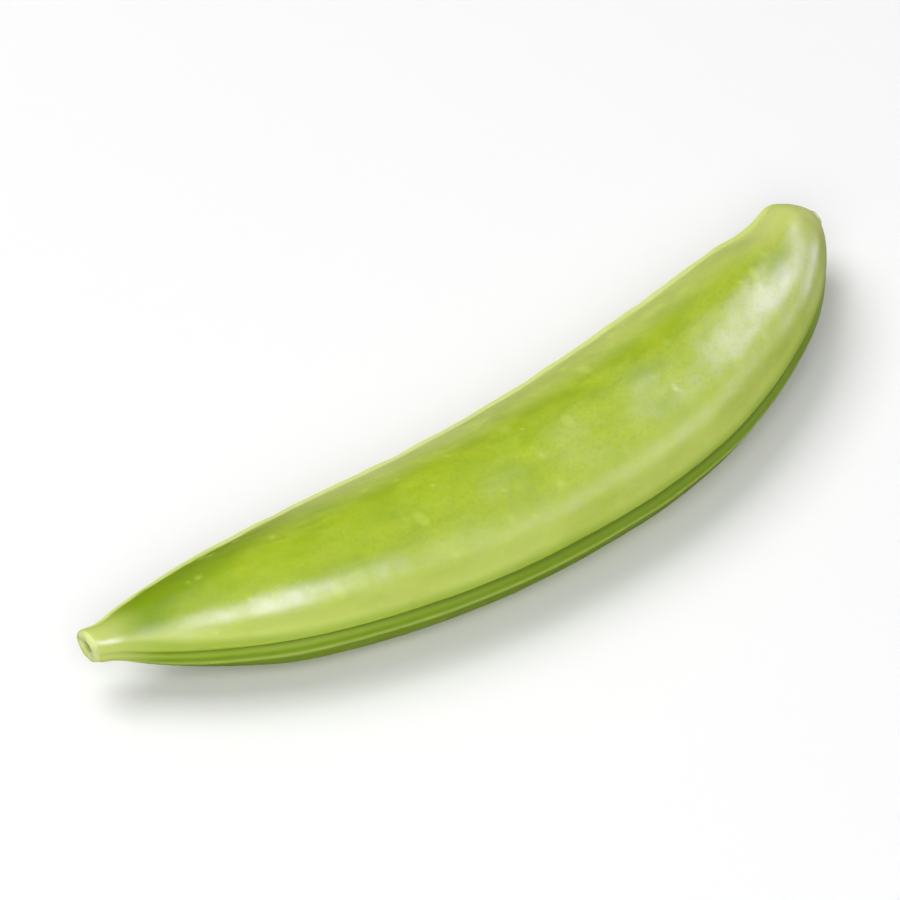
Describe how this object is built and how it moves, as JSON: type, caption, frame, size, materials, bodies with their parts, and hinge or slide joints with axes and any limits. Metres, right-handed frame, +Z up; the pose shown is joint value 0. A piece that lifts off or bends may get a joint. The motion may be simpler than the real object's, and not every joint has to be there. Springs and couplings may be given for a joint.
{
  "type": "sugar snap pea pod",
  "caption": "Whole plump sugar snap pea pod, picked and trimmed, lying on its side: a curved green pod with a grooved seam, a fine back rib, a cut stem end and a blunt tip.",
  "frame": {"origin": "on the surface that the pod rests on, under the middle of its box", "axes": "+X from the cut stem end to the blossom end, +Y from the grooved seam to the back rib, +Z up from the surface that the pod lies on"},
  "size_m": [0.08, 0.0202, 0.0123],
  "materials": {
    "pod_skin": "satin"
  },
  "bodies": {
    "root": {"pod": "pod_skin"}
  },
  "joints": []
}
